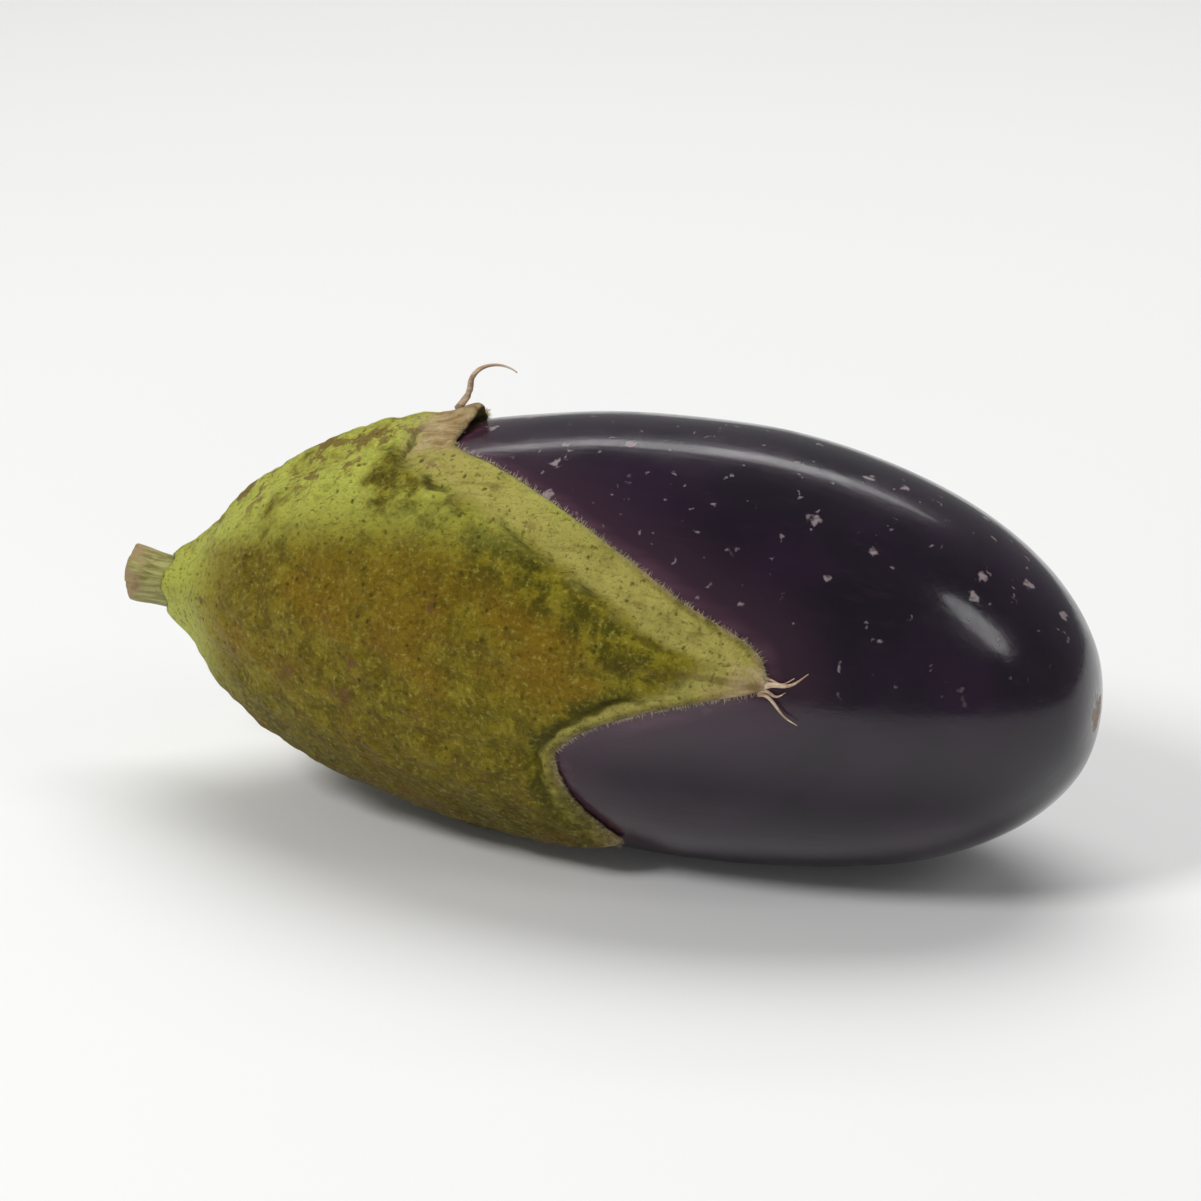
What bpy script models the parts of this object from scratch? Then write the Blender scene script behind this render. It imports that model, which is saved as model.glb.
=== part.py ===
"""A small purple eggplant lying on its side, in metres.

The stem end points to -X, the blossom end to +X, up is +Z and the front is -Y. The fruit, the
leafy calyx that grips its stem end and the cut stub of stem are three separate solids. The
origin is on the ground, under the middle of the whole object's box.
"""
import math
from collections import namedtuple

import bmesh
import bpy
from mathutils import Vector

# The fruit: a pear-shaped body whose centre line sags towards both ends.
FRUIT_LENGTH = 0.1205
FRUIT_RADIUS = 0.0280
PEAR = 0.09            # how much fatter the blossom half is than the stem half
FULLNESS = 0.06        # how much fuller than an ellipse both ends are
DROOP = 0.0026         # how far the centre line's ends hang below its middle
TILT = 0.0008          # how far the blossom end lies lower, and the stem end higher
SWEEP = 0.0010         # how far the centre line's ends bend to the front
RIB_DEPTH = 0.008      # soft lengthwise ribs, as a share of the radius
FLAT_DEPTH = 0.0010    # how much of the belly the resting flat takes away

# The stem: a fluted stub, cut across its end.
STEM_RADIUS = 0.0034
STEM_LENGTH = 0.0120   # from the fruit to the cut
STEM_RISE = 0.0010     # how far its cut end lifts
STEM_LIP = 0.10        # how much wider the cut end is
FLUTES = 5
FLUTE_DEPTH = 0.05

# The calyx: a leathery cap with five lobes and a collar round the stem.
GAP = 0.00035          # air between the calyx and what it wraps
HOLE_RADIUS = STEM_RADIUS * (1 + FLUTE_DEPTH) + GAP
COLLAR_RADIUS = 0.0052
COLLAR_HEIGHT = 0.0040
COLLAR_FOOT = 0.0085   # radius where the collar runs out into the cap
CAP_THICKNESS = 0.0022
MARGIN_THICKNESS = 0.0009

# A lobe's tip, and the notch that follows it going round. Angles are in degrees from the front
# (-Y), turning up; a reach is -1 at the stem pole and +1 at the blossom pole. The two steepness
# values shape the edge before and after the tip: 1 is straight, more is hollow beside the notch. The
# shoulder is how far the edge swells just after the tip, as a share of the lobe's length.
Lobe = namedtuple("Lobe", "tip_angle tip_reach notch_angle notch_reach steep_before steep_after shoulder")
LOBES = (
    Lobe(12, 0.43, 72, -0.385, 1.9, 1.15, 0.07),    # front, the longest
    Lobe(90, -0.365, 132, -0.46, 2.0, 1.3, 0.0),    # top, the shortest
    Lobe(174, 0.12, 207, -0.34, 1.5, 1.5, 0.03),    # back
    Lobe(237, -0.12, 271, -0.47, 1.6, 1.6, 0.0),    # low, behind the resting flat's end
    Lobe(309, 0.07, 344, -0.035, 1.6, 2.0, 0.0),    # low at the front
)
TIP_ROUNDNESS = 1.2
SHOULDER_PLACE = 0.85  # where the shoulder is, from 0 at the notch to 1 at the tip
SHOULDER_WIDTH = 0.07

FRUIT_RINGS = 34
FRUIT_SEGMENTS = 64
CAP_ROWS = 11
COLUMNS_PER_HALF_LOBE = 9
STEM_RINGS = 7
STEM_SEGMENTS = 30

HALF_LENGTH = FRUIT_LENGTH / 2


# ---------------------------------------------------------------- the fruit's own surface

def centre_line(reach):
    """The point of the centre line at this reach."""
    return Vector((HALF_LENGTH * reach, -SWEEP * reach ** 2, -DROOP * reach ** 2 - TILT * reach))


def radius_at(reach, angle):
    """The fruit's radius, with five soft ribs that fade out at the poles."""
    ellipse = math.sqrt(max(0.0, 1 - reach ** 2))
    ribs = 1 + RIB_DEPTH * ellipse * math.cos(FLUTES * angle + 0.6)
    return FRUIT_RADIUS * ellipse * (1 + PEAR * reach + FULLNESS * reach ** 2) * ribs


def fruit_point(reach, angle, lift=0.0):
    """A point of the fruit's surface, lifted along the surface's own outward direction."""
    radius = radius_at(reach, angle)
    around = Vector((0, -math.cos(angle), math.sin(angle)))
    point = centre_line(reach) + radius * around
    if lift == 0:
        return point
    return point + lift * outward(reach, angle)


def outward(reach, angle, step=1e-4):
    """The surface's outward direction, from its slopes along and around."""
    ahead = fruit_point(min(reach + step, 1), angle)
    behind = fruit_point(max(reach - step, -1), angle)
    along = ahead - behind
    around = fruit_point(reach, angle + step) - fruit_point(reach, angle - step)
    return along.cross(around).normalized()


def reach_from(turn):
    """The reach at a turn from 0 at the stem pole to pi at the blossom pole."""
    return -math.cos(turn)


# ---------------------------------------------------------------- the calyx's outline

def edge_reach(angle):
    """How far along the fruit the calyx's margin reaches at this angle."""
    degrees = math.degrees(angle) % 360
    for before, lobe in zip(LOBES[-1:] + LOBES[:-1], LOBES):
        start = before.notch_angle
        if start > lobe.tip_angle:
            start -= 360
        for turn in (0, 360):
            at = degrees - turn
            if start <= at <= lobe.tip_angle:
                share = (at - start) / (lobe.tip_angle - start)
                return rise(share, lobe.steep_before, before.notch_reach, lobe.tip_reach)
            if lobe.tip_angle <= at <= lobe.notch_angle:
                share = (lobe.notch_angle - at) / (lobe.notch_angle - lobe.tip_angle)
                return rise(share, lobe.steep_after, lobe.notch_reach, lobe.tip_reach, lobe.shoulder)
    raise ValueError("no lobe at this angle")


def rise(share, steepness, low, high, shoulder=0.0):
    """From low at a notch to high at a tip, hollow beside the notch and round at the tip."""
    climbed = 1 - (1 - share ** steepness) ** TIP_ROUNDNESS
    swell = shoulder * math.exp(-((share - SHOULDER_PLACE) / SHOULDER_WIDTH) ** 2)
    return low + (high - low) * (climbed + swell)


def column_angles():
    """Angles round the calyx, with a column on every tip and every notch."""
    corners = [LOBES[-1].notch_angle - 360]
    for lobe in LOBES:
        corners += [lobe.tip_angle, lobe.notch_angle]
    angles = []
    for start, end in zip(corners, corners[1:]):
        for i in range(COLUMNS_PER_HALF_LOBE):
            angles.append(math.radians(start + (end - start) * i / COLUMNS_PER_HALF_LOBE))
    return angles


# ---------------------------------------------------------------- meshes

def add_object(name, bm, colour, roughness):
    """Turn a bmesh into a smooth-shaded object with a material of its own."""
    bmesh.ops.recalc_face_normals(bm, faces=bm.faces)
    mesh = bpy.data.meshes.new(name)
    bm.to_mesh(mesh)
    bm.free()
    mesh.shade_smooth()
    mesh.set_sharp_from_angle(angle=math.radians(40))
    material = bpy.data.materials.new(name)
    material.use_nodes = True
    shader = material.node_tree.nodes["Principled BSDF"]
    shader.inputs["Base Color"].default_value = (*colour, 1)
    shader.inputs["Roughness"].default_value = roughness
    shader.inputs["Metallic"].default_value = 0
    mesh.materials.append(material)
    thing = bpy.data.objects.new(name, mesh)
    bpy.context.scene.collection.objects.link(thing)
    return thing


def bridge(bm, loops, closed=False):
    """Join rings of vertices into a skin of quads."""
    pairs = list(zip(loops, loops[1:]))
    if closed:
        pairs.append((loops[-1], loops[0]))
    for a, b in pairs:
        for i in range(len(a)):
            j = (i + 1) % len(a)
            bm.faces.new((a[i], a[j], b[j], b[i]))


def cap_with_point(bm, ring, point):
    """Close a ring with a fan of triangles round one point."""
    tip = bm.verts.new(point)
    for i in range(len(ring)):
        bm.faces.new((ring[i], ring[(i + 1) % len(ring)], tip))


def make_fruit():
    """The fruit, with a small flat under its belly to lie on."""
    bm = bmesh.new()
    rings = []
    for i in range(1, FRUIT_RINGS):
        reach = reach_from(math.pi * i / FRUIT_RINGS)
        ring = []
        for j in range(FRUIT_SEGMENTS):
            ring.append(bm.verts.new(fruit_point(reach, 2 * math.pi * j / FRUIT_SEGMENTS)))
        rings.append(ring)
    bridge(bm, rings)
    cap_with_point(bm, rings[0], centre_line(-1))
    cap_with_point(bm, rings[-1], centre_line(1))
    lowest = min(v.co.z for v in bm.verts)
    everything = bm.verts[:] + bm.edges[:] + bm.faces[:]
    cut = bmesh.ops.bisect_plane(bm, geom=everything, plane_co=(0, 0, lowest + FLAT_DEPTH),
                                 plane_no=(0, 0, -1), clear_outer=True)
    rim = [e for e in cut["geom_cut"] if isinstance(e, bmesh.types.BMEdge)]
    bmesh.ops.contextual_create(bm, geom=rim)
    return add_object("fruit", bm, (0.022, 0.008, 0.020), 0.22)


def collar_profile(angle):
    """The collar from its foot on the cap, up its outer wall and down into the hole."""
    pole = centre_line(-1)
    around = Vector((0, -math.cos(angle), math.sin(angle)))
    steps = (
        (COLLAR_RADIUS * 1.12, 0.45),
        (COLLAR_RADIUS, 0.80),
        (COLLAR_RADIUS * 0.90, 1.00),
        (HOLE_RADIUS, 0.92),
    )
    return [pole + radius * around + Vector((-COLLAR_HEIGHT * height, 0, 0))
            for radius, height in steps]


def turn_at_radius(radius, angle):
    """The turn near the stem pole where the fruit has this radius, by halving."""
    low, high = 0.0, math.pi / 2
    for _ in range(40):
        middle = (low + high) / 2
        if radius_at(reach_from(middle), angle) < radius:
            low = middle
        else:
            high = middle
    return low


def make_calyx():
    """The cap: one closed section at each angle, bridged all the way round."""
    bm = bmesh.new()
    sections = []
    for angle in column_angles():
        margin = math.acos(-edge_reach(angle))
        hole = turn_at_radius(HOLE_RADIUS, angle)
        foot = turn_at_radius(COLLAR_FOOT, angle)
        inside = []
        outside = []
        for i in range(CAP_ROWS + 1):
            share = i / CAP_ROWS
            inside.append(fruit_point(reach_from(hole + (margin - hole) * share), angle, GAP))
            thickness = MARGIN_THICKNESS + (CAP_THICKNESS - MARGIN_THICKNESS) * (1 - share ** 2)
            turn = foot + (margin - foot) * share
            outside.append(fruit_point(reach_from(turn), angle, GAP + thickness))
        points = inside + outside[::-1] + collar_profile(angle)
        sections.append([bm.verts.new(point) for point in points])
    bridge(bm, sections, closed=True)
    return add_object("calyx", bm, (0.24, 0.27, 0.04), 0.6)


def make_stem():
    """The fluted stub, a little wider at its cut end, whose face is slightly dished."""
    bm = bmesh.new()
    pole = centre_line(-1)
    rings = []
    for i in range(STEM_RINGS):
        share = i / (STEM_RINGS - 1)
        length = GAP + (STEM_LENGTH - GAP) * share
        centre = pole + Vector((-length, 0, STEM_RISE * share ** 2))
        widening = 1 + STEM_LIP * max(0, (share - 0.6) / 0.4) ** 2
        ring = []
        for j in range(STEM_SEGMENTS):
            angle = 2 * math.pi * j / STEM_SEGMENTS
            radius = STEM_RADIUS * widening * (1 + FLUTE_DEPTH * math.cos(FLUTES * angle))
            ring.append(bm.verts.new(centre + radius * Vector((0, -math.cos(angle), math.sin(angle)))))
        rings.append(ring)
    bridge(bm, rings)
    cap_with_point(bm, rings[0], pole + Vector((-GAP, 0, 0)))
    cut_end = pole + Vector((-STEM_LENGTH + 0.0004, 0, STEM_RISE))
    cap_with_point(bm, rings[-1], cut_end)
    return add_object("stem", bm, (0.33, 0.29, 0.12), 0.7)


def stand_on_origin(objects):
    """Move the meshes so that the origin is under the middle of their common box."""
    corners = [v.co for thing in objects for v in thing.data.vertices]
    low = Vector(min(c[k] for c in corners) for k in range(3))
    high = Vector(max(c[k] for c in corners) for k in range(3))
    shift = Vector((-(low.x + high.x) / 2, -(low.y + high.y) / 2, -low.z))
    for thing in objects:
        for vertex in thing.data.vertices:
            vertex.co += shift


def main():
    """Clear the scene and build the three pieces."""
    for thing in list(bpy.data.objects):
        bpy.data.objects.remove(thing, do_unlink=True)
    stand_on_origin([make_fruit(), make_calyx(), make_stem()])


main()
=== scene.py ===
import math
from collections import namedtuple

import bpy
import numpy as np
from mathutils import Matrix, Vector, noise
from mathutils.kdtree import KDTree


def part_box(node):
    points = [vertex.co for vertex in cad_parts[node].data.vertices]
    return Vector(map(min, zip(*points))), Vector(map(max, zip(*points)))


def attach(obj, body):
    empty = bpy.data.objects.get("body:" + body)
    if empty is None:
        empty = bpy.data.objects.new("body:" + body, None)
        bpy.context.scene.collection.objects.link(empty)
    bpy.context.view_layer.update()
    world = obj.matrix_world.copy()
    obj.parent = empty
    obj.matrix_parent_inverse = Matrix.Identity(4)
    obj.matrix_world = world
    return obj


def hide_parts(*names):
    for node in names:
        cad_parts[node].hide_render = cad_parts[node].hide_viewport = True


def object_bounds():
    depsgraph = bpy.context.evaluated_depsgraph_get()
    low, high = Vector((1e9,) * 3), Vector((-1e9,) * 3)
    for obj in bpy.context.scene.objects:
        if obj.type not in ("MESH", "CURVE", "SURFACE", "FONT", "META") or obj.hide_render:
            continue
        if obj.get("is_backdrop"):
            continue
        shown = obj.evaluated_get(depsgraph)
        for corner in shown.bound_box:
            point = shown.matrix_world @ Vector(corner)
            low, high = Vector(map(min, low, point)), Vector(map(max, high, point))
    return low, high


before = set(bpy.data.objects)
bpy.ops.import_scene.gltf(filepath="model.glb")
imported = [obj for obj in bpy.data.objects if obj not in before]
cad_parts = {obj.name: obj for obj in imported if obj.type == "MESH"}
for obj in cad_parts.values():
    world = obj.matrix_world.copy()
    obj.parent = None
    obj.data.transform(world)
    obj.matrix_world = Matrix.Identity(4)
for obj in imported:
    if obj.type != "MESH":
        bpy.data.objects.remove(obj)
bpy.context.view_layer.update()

MM = 0.001

# ---------------------------------------------------------------- the CAD's driving dimensions

FRUIT_LENGTH = 120.5 * MM
FRUIT_RADIUS = 28.0 * MM
PEAR = 0.09                   # how much fatter the blossom half is than the stem half
FULLNESS = 0.06               # how much fuller than an ellipse both ends are
DROOP = 2.6 * MM              # how far the centre line's ends hang below its middle
TILT = 0.8 * MM               # how far the blossom end lies lower, and the stem end higher
SWEEP = 1.0 * MM              # how far the centre line's ends bend to the front
RIBS = 5                      # soft lengthwise ribs
RIB_DEPTH = 0.008             # as a share of the radius
RIB_PHASE = 0.6               # how far round they are turned
STEM_RADIUS = 3.4 * MM
STEM_LENGTH = 12.0 * MM       # from the fruit to the cut
STEM_RISE = 1.0 * MM          # how far its cut end lifts
HALF_LENGTH = FRUIT_LENGTH / 2

# A lobe's tip, and the notch that follows it going round. Angles are in degrees from the front
# (-Y), turning up; a reach is -1 at the stem pole and +1 at the blossom pole. The two steepness
# values shape the edge before and after the tip, and the shoulder swells it just after the tip.
Lobe = namedtuple("Lobe", "tip_angle tip_reach notch_angle notch_reach "
                          "steep_before steep_after shoulder")
LOBES = (
    Lobe(12, 0.43, 72, -0.385, 1.9, 1.15, 0.07),    # front, the longest
    Lobe(90, -0.365, 132, -0.46, 2.0, 1.3, 0.0),    # top, the shortest
    Lobe(174, 0.12, 207, -0.34, 1.5, 1.5, 0.03),    # back
    Lobe(237, -0.12, 271, -0.47, 1.6, 1.6, 0.0),    # low, behind the resting flat's end
    Lobe(309, 0.07, 344, -0.035, 1.6, 2.0, 0.0),    # low at the front
)
FRONT = LOBES[0]
TOP = LOBES[1]
TIP_ROUNDNESS = 1.2
SHOULDER_PLACE = 0.85
SHOULDER_WIDTH = 0.07

# ---------------------------------------------------------------- what the fine surface adds

# A layer of soft noise: how high it stands, the size of its features, where its pattern starts,
# and how much longer its features are along X, Y and Z.
Layer = namedtuple("Layer", "height size seed stretch", defaults=[(1, 1, 1)])

DENTS = Layer(0.22 * MM, 17 * MM, 0.0)
SCAR_RADIUS = 2.6 * MM        # the corky scar at the blossom end
SCAR_DEPTH = 0.5 * MM         # how deep the hollow is that it lies in
SCAR_HOLLOW = 9.1 * MM        # the hollow's radius
SCAR_CORNERS = 5              # the scar's outline: slight corners, and the ragged layers
SCAR_CORNER_HEIGHT = 0.10
SCAR_OUTLINE = (Layer(0.6, 1.6 * MM, 21.5), Layer(0.3, 0.6 * MM, 23.1))
CORK = Layer(0.12 * MM, 0.7 * MM, 0.0)
FAR_MM = 50                   # stands for any place well away from the calyx's margin

EDGE_WANDER = (Layer(0.6 * MM, 5 * MM, 3.1), Layer(0.22 * MM, 1.1 * MM, 7.7))
EDGE_ROUNDING = 8             # smoothing passes over the margin's tips and notches
EDGE_THICKNESS = 0.75 * MM    # the leaf at its margin
EDGE_RADIUS = 0.5 * MM        # within this of the margin it rounds off to nothing
BAND_WIDTH = 6.5 * MM         # the thin band inside the margin, up to the crease, on top
LOW_BAND = 0.33               # how narrow it is low down, as a share of that
BAND_HEIGHTS = (29 * MM, 37 * MM)   # from low down to on top
BAND_GAIN = 0.75 * MM         # how much the band thickens up to the crease
STEP_HEIGHT = 0.55 * MM       # the step from the band up to the middle of a lobe
CREASE_DEPTH = 0.60 * MM      # the crease between the band and the middle
CREASE_WIDTH = 0.6 * MM
CREASE_WANDER = (Layer(1.1 * MM, 3 * MM, 11.3), Layer(0.4 * MM, 1.2 * MM, 12.9))
CREASE_MEAN = 0.6             # its mean strength, and how that varies
CREASE_STRENGTH = Layer(0.8, 5 * MM, 4.3)
MIDRIB_HEIGHT = 0.5 * MM      # the ridge along the middle of each lobe
MIDRIB_WIDTH = 2.6 * MM
FURROW_DEPTH = 0.5 * MM       # the fold from each notch towards the stem
FURROW_WIDTH = 1.8 * MM
LEAF_RELIEF = (
    Layer(0.26 * MM, 3.2 * MM, 1.7),
    Layer(0.24 * MM, 1.3 * MM, 5.2),
    Layer(0.14 * MM, 1.5 * MM, 2.4, (5, 1, 1)),
    Layer(0.30 * MM, 7 * MM, 14.6),
)
LEAF_CLEARANCE = 0.1 * MM     # between the fruit and the leaf
EDGE_LIFT = 0.55 * MM         # how far the wavy margin stands off the fruit
EDGE_WAVES = Layer(0.5, 7 * MM, 8.4)
FRONT_TIP_LIFT = 0.7 * MM     # how far the two dry tips stand off, and how far round them
FRONT_TIP_SIZE = 4.0 * MM
TOP_TIP_LIFT = 1.9 * MM
TOP_TIP_SIZE = 3.4 * MM
DRY_SIZE = 6.5 * MM           # how large the withered area at a tip is
TOP_DRY_SIZE = 7.0 * MM
DRY_BACK = 0.02               # its middle lies this reach and angle before the tip
DRY_TURN = 8

COLLAR_HEIGHT = 4.3 * MM
COLLAR_SPREAD = 2.3 * MM      # how fast the collar runs out into the cap
COLLAR_FALL = 1.4             # how round its shoulder is
COLLAR_FOOT = 11 * MM         # radius where its rows end and the cap's begin
COLLAR_RELIEF = Layer(0.05, 1.6 * MM, 4.0)
HOLE_SHARE = 1.03             # the hole's radius, as a share of the stem's

STEM_LIP = 0.10               # how much wider the stem is at the cut, as a share
STEM_FOOT = 0.12              # and at its foot
STEM_NARROW = 0.94            # its radius between two flutes, and what a flute adds
FLUTE_HEIGHT = 0.10
STEM_RELIEF = (Layer(0.16 * MM, 0.8 * MM, 6.3, (9, 1, 1)), Layer(0.10 * MM, 2.5 * MM, 9.1))
CUT_DISH = 0.35 * MM          # how hollow the cut face is
# Radii of the rows of the cut face, as shares of the stem's.
CUT_SHARES = (0.985, 0.93, 0.84, 0.72, 0.6, 0.48, 0.36, 0.24, 0.12)
RING_HEIGHT = 0.10 * MM       # the cut face's rings
RING_SIZE = 0.45 * MM
CUT_GRAIN = Layer(0.12 * MM, 0.6 * MM, 2.2)
STEM_CREASE = 48              # degrees; sharper edges stay crisp, as round the cut

# Dry threads at the front lobe's tip. The fan and the start are angles round the fruit.
Thread = namedtuple("Thread", "length fan start height radius")
THREADS = (
    Thread(6.4 * MM, 0.09, -0.01, 0.9 * MM, 0.50 * MM),
    Thread(4.6 * MM, 0.03, 0.02, 0.5 * MM, 0.20 * MM),
    Thread(3.6 * MM, 0.01, -0.03, 0.2 * MM, 0.34 * MM),
    Thread(5.4 * MM, -0.12, -0.04, 0.4 * MM, 0.30 * MM),
)
THREAD_ROOT = 2.2 * MM        # how far back from the tip they start
THREAD_LIFT = 0.8 * MM
THREAD_WAVE = 0.012
THREAD_END = 0.05 * MM        # radius

CURL_RISE = 3.4 * MM          # the top lobe's dry point: straight up first
CURL_HEIGHT = 2.9 * MM        # then over in an arc, this high
CURL_WIDTH = 3.6 * MM         # and this wide from its start to its crest
CURL_FOOT = ((-0.5, 0), (-0.3, 0.28), (-0.12, 0.55), (-0.03, 0.8))   # shares of width and rise
CURL_ROOT = 1.6 * MM          # how far back from the tip, and above the fruit, it starts
CURL_LEAN = 0.12              # how far it leans to the back
CURL_RADII = (0.50 * MM, 0.09 * MM)

HAIR_COUNT = 2600
HAIR_SEED = 5
HAIR_SIDES = 3
HAIR_LENGTHS = (0.12 * MM, 0.48 * MM)
HAIR_LIFTS = (0.1 * MM, 0.8 * MM)
HAIR_SPREAD = 0.35
HAIR_SLOPE = 0.25
HAIR_RADII = (0.028 * MM, 0.010 * MM)
BARE_RADIUS = 4.5 * MM        # the top lobe's dry tip has no hairs within this

FRUIT_RINGS = 250
FRUIT_SEGMENTS = 300
COLUMNS_PER_HALF_LOBE = 42
COLLAR_ROWS = 26
CAP_ROWS = 112
EDGE_ROWS = (0.996, 0.9985, 1)      # more rows close to the margin, from 0 at the foot to 1
INSIDE_ROWS = 12
INSIDE_END = 0.998
STEM_RINGS = 70
STEM_SEGMENTS = 120


# ---------------------------------------------------------------- the fruit's own surface

def centre_line(reach):
    """Points of the centre line; reach is -1 at the stem pole and +1 at the blossom pole."""
    reach = np.asarray(reach, float)
    height = -DROOP * reach ** 2 - TILT * reach
    return np.stack([HALF_LENGTH * reach, -SWEEP * reach ** 2, height], -1)


def around(angle):
    """Unit vectors round the X axis: 0 is the front (-Y), a quarter turn is up."""
    angle = np.asarray(angle, float)
    return np.stack([0 * angle, -np.cos(angle), np.sin(angle)], -1)


def radius_at(turn, angle):
    """The fruit's radius; turn goes from 0 at the stem pole to pi at the blossom pole."""
    reach = -np.cos(turn)
    ribs = 1 + RIB_DEPTH * np.sin(turn) * np.cos(RIBS * angle + RIB_PHASE)
    return FRUIT_RADIUS * np.sin(turn) * (1 + PEAR * reach + FULLNESS * reach ** 2) * ribs


def surface(turn, angle):
    """Points of the smooth fruit, before the frame's shift."""
    return centre_line(-np.cos(turn)) + radius_at(turn, angle)[..., None] * around(angle)


def unit(vectors):
    """The vectors at length one."""
    return vectors / np.maximum(np.linalg.norm(vectors, axis=-1, keepdims=True), 1e-12)


def outward(turn, angle, step=1e-3):
    """The smooth fruit's outward directions."""
    along = surface(turn + step, angle) - surface(turn - step, angle)
    across = surface(turn, angle + step) - surface(turn, angle - step)
    return unit(np.cross(along, across))


def frame_shift(steps=200):
    """From the formula's own place to the CAD fruit's place in the frame."""
    turn, angle = np.meshgrid(np.linspace(0, np.pi, steps), np.linspace(0, 2 * np.pi, steps))
    points = surface(turn, angle).reshape(-1, 3)
    low, high = (np.array(corner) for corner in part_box("fruit"))
    middle = (low + high) / 2 - (points.min(0) + points.max(0)) / 2
    return np.array([middle[0], middle[1], high[2] - points[:, 2].max()])


SHIFT = frame_shift()


def smooth(value, start, end):
    """0 before start, 1 after end, and an even ease between them."""
    share = np.clip((value - start) / (end - start), 0, 1)
    return share * share * (3 - 2 * share)


def relief(points, *layers):
    """The sum of some layers of soft noise, at points of any shape."""
    total = np.zeros(points.shape[:-1])
    for layer in layers:
        places = points.reshape(-1, 3) / (layer.size * np.array(layer.stretch)) + layer.seed
        values = np.array([noise.noise(Vector(place)) for place in places])
        total += layer.height * values.reshape(total.shape)
    return total


# ---------------------------------------------------------------- the calyx's outline

def rise(share, steepness, low, high, shoulder=0.0):
    """From low at a notch to high at a tip, hollow beside the notch and round at the tip."""
    climbed = 1 - (1 - share ** steepness) ** TIP_ROUNDNESS
    swell = shoulder * np.exp(-((share - SHOULDER_PLACE) / SHOULDER_WIDTH) ** 2)
    return low + (high - low) * (climbed + swell)


def outline():
    """Angles, margin reaches and lobe phases (0 at a notch, 1 at a tip) for all the columns."""
    angles = []
    reaches = []
    phases = []
    shares = np.arange(COLUMNS_PER_HALF_LOBE) / COLUMNS_PER_HALF_LOBE
    for before, lobe in zip(LOBES[-1:] + LOBES[:-1], LOBES):
        start = before.notch_angle
        if start > lobe.tip_angle:
            start -= 360
        angles.append(start + (lobe.tip_angle - start) * shares)
        reaches.append(rise(shares, lobe.steep_before, before.notch_reach, lobe.tip_reach))
        phases.append(shares)
        angles.append(lobe.tip_angle + (lobe.notch_angle - lobe.tip_angle) * shares)
        reaches.append(rise(1 - shares, lobe.steep_after, lobe.notch_reach, lobe.tip_reach,
                            lobe.shoulder))
        phases.append(1 - shares)
    angles, reaches, phases = (np.concatenate(parts) for parts in (angles, reaches, phases))
    for _ in range(EDGE_ROUNDING):
        reaches = (np.roll(reaches, 1) + 2 * reaches + np.roll(reaches, -1)) / 4
    angles = np.radians(angles)
    wander = relief(around(angles) * FRUIT_RADIUS, *EDGE_WANDER)
    return angles, reaches + wander / HALF_LENGTH, phases


ANGLES, REACHES, PHASES = outline()
MARGIN_TURNS = np.arccos(-REACHES)
CORNERS = surface(MARGIN_TURNS, ANGLES)
NEXT_CORNERS = np.roll(CORNERS, -1, axis=0)


def margin_tree(steps=12):
    """A search tree of points close together along the margin."""
    sides = NEXT_CORNERS - CORNERS
    points = np.concatenate([CORNERS + sides * i / steps for i in range(steps)])
    tree = KDTree(len(points))
    for i, point in enumerate(points):
        tree.insert(point, i)
    tree.balance()
    return tree


MARGIN_TREE = margin_tree()


def edge_distance(points):
    """How far each point is from the calyx's margin."""
    flat = [MARGIN_TREE.find(point)[2] for point in points.reshape(-1, 3)]
    return np.array(flat).reshape(points.shape[:-1])


def tip_distance(points, lobe):
    """How far each point is from a lobe's tip."""
    tip = surface(np.arccos(-lobe.tip_reach), math.radians(lobe.tip_angle))
    return np.linalg.norm(points - tip, axis=-1)


def angle_gap(angle, marks):
    """The angle from each place to the nearest of the marks, which are in degrees."""
    gaps = (angle[..., None] - np.radians(marks) + np.pi) % (2 * np.pi) - np.pi
    return np.abs(gaps).min(-1)


# ---------------------------------------------------------------- meshes

def make_piece(name, points, faces, material, node=None, slot=None, crisp=None, **attributes):
    """A smooth mesh piece in the frame, with float attributes for its material."""
    mesh = bpy.data.meshes.new(name)
    mesh.from_pydata((points + SHIFT).tolist(), [], faces)
    for key, values in attributes.items():
        layer = mesh.attributes.new(key, "FLOAT", "POINT")
        layer.data.foreach_set("value", np.ascontiguousarray(values, dtype=np.float32).ravel())
    mesh.shade_smooth()
    if crisp:
        mesh.set_sharp_from_angle(angle=math.radians(crisp))
    mesh.materials.append(material)
    piece = bpy.data.objects.new(name, mesh)
    bpy.context.scene.collection.objects.link(piece)
    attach(piece, "root")
    if node:
        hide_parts(node)
    return piece


def grid_faces(rows, columns, wrap_rows=False):
    """Quads of a grid whose columns close into a ring, and its rows too if wrap_rows."""
    faces = []
    for i in range(rows if wrap_rows else rows - 1):
        below = i * columns
        above = (i + 1) % rows * columns
        for j in range(columns):
            k = (j + 1) % columns
            faces.append((below + j, above + j, above + k, below + k))
    return faces


def fan_faces(ring_start, columns, tip, flip):
    """Triangles from a ring of a grid to one tip vertex."""
    faces = []
    for j in range(columns):
        k = (j + 1) % columns
        pair = (ring_start + j, ring_start + k)
        faces.append((tip, *pair[::-1]) if flip else (tip, *pair))
    return faces


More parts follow.
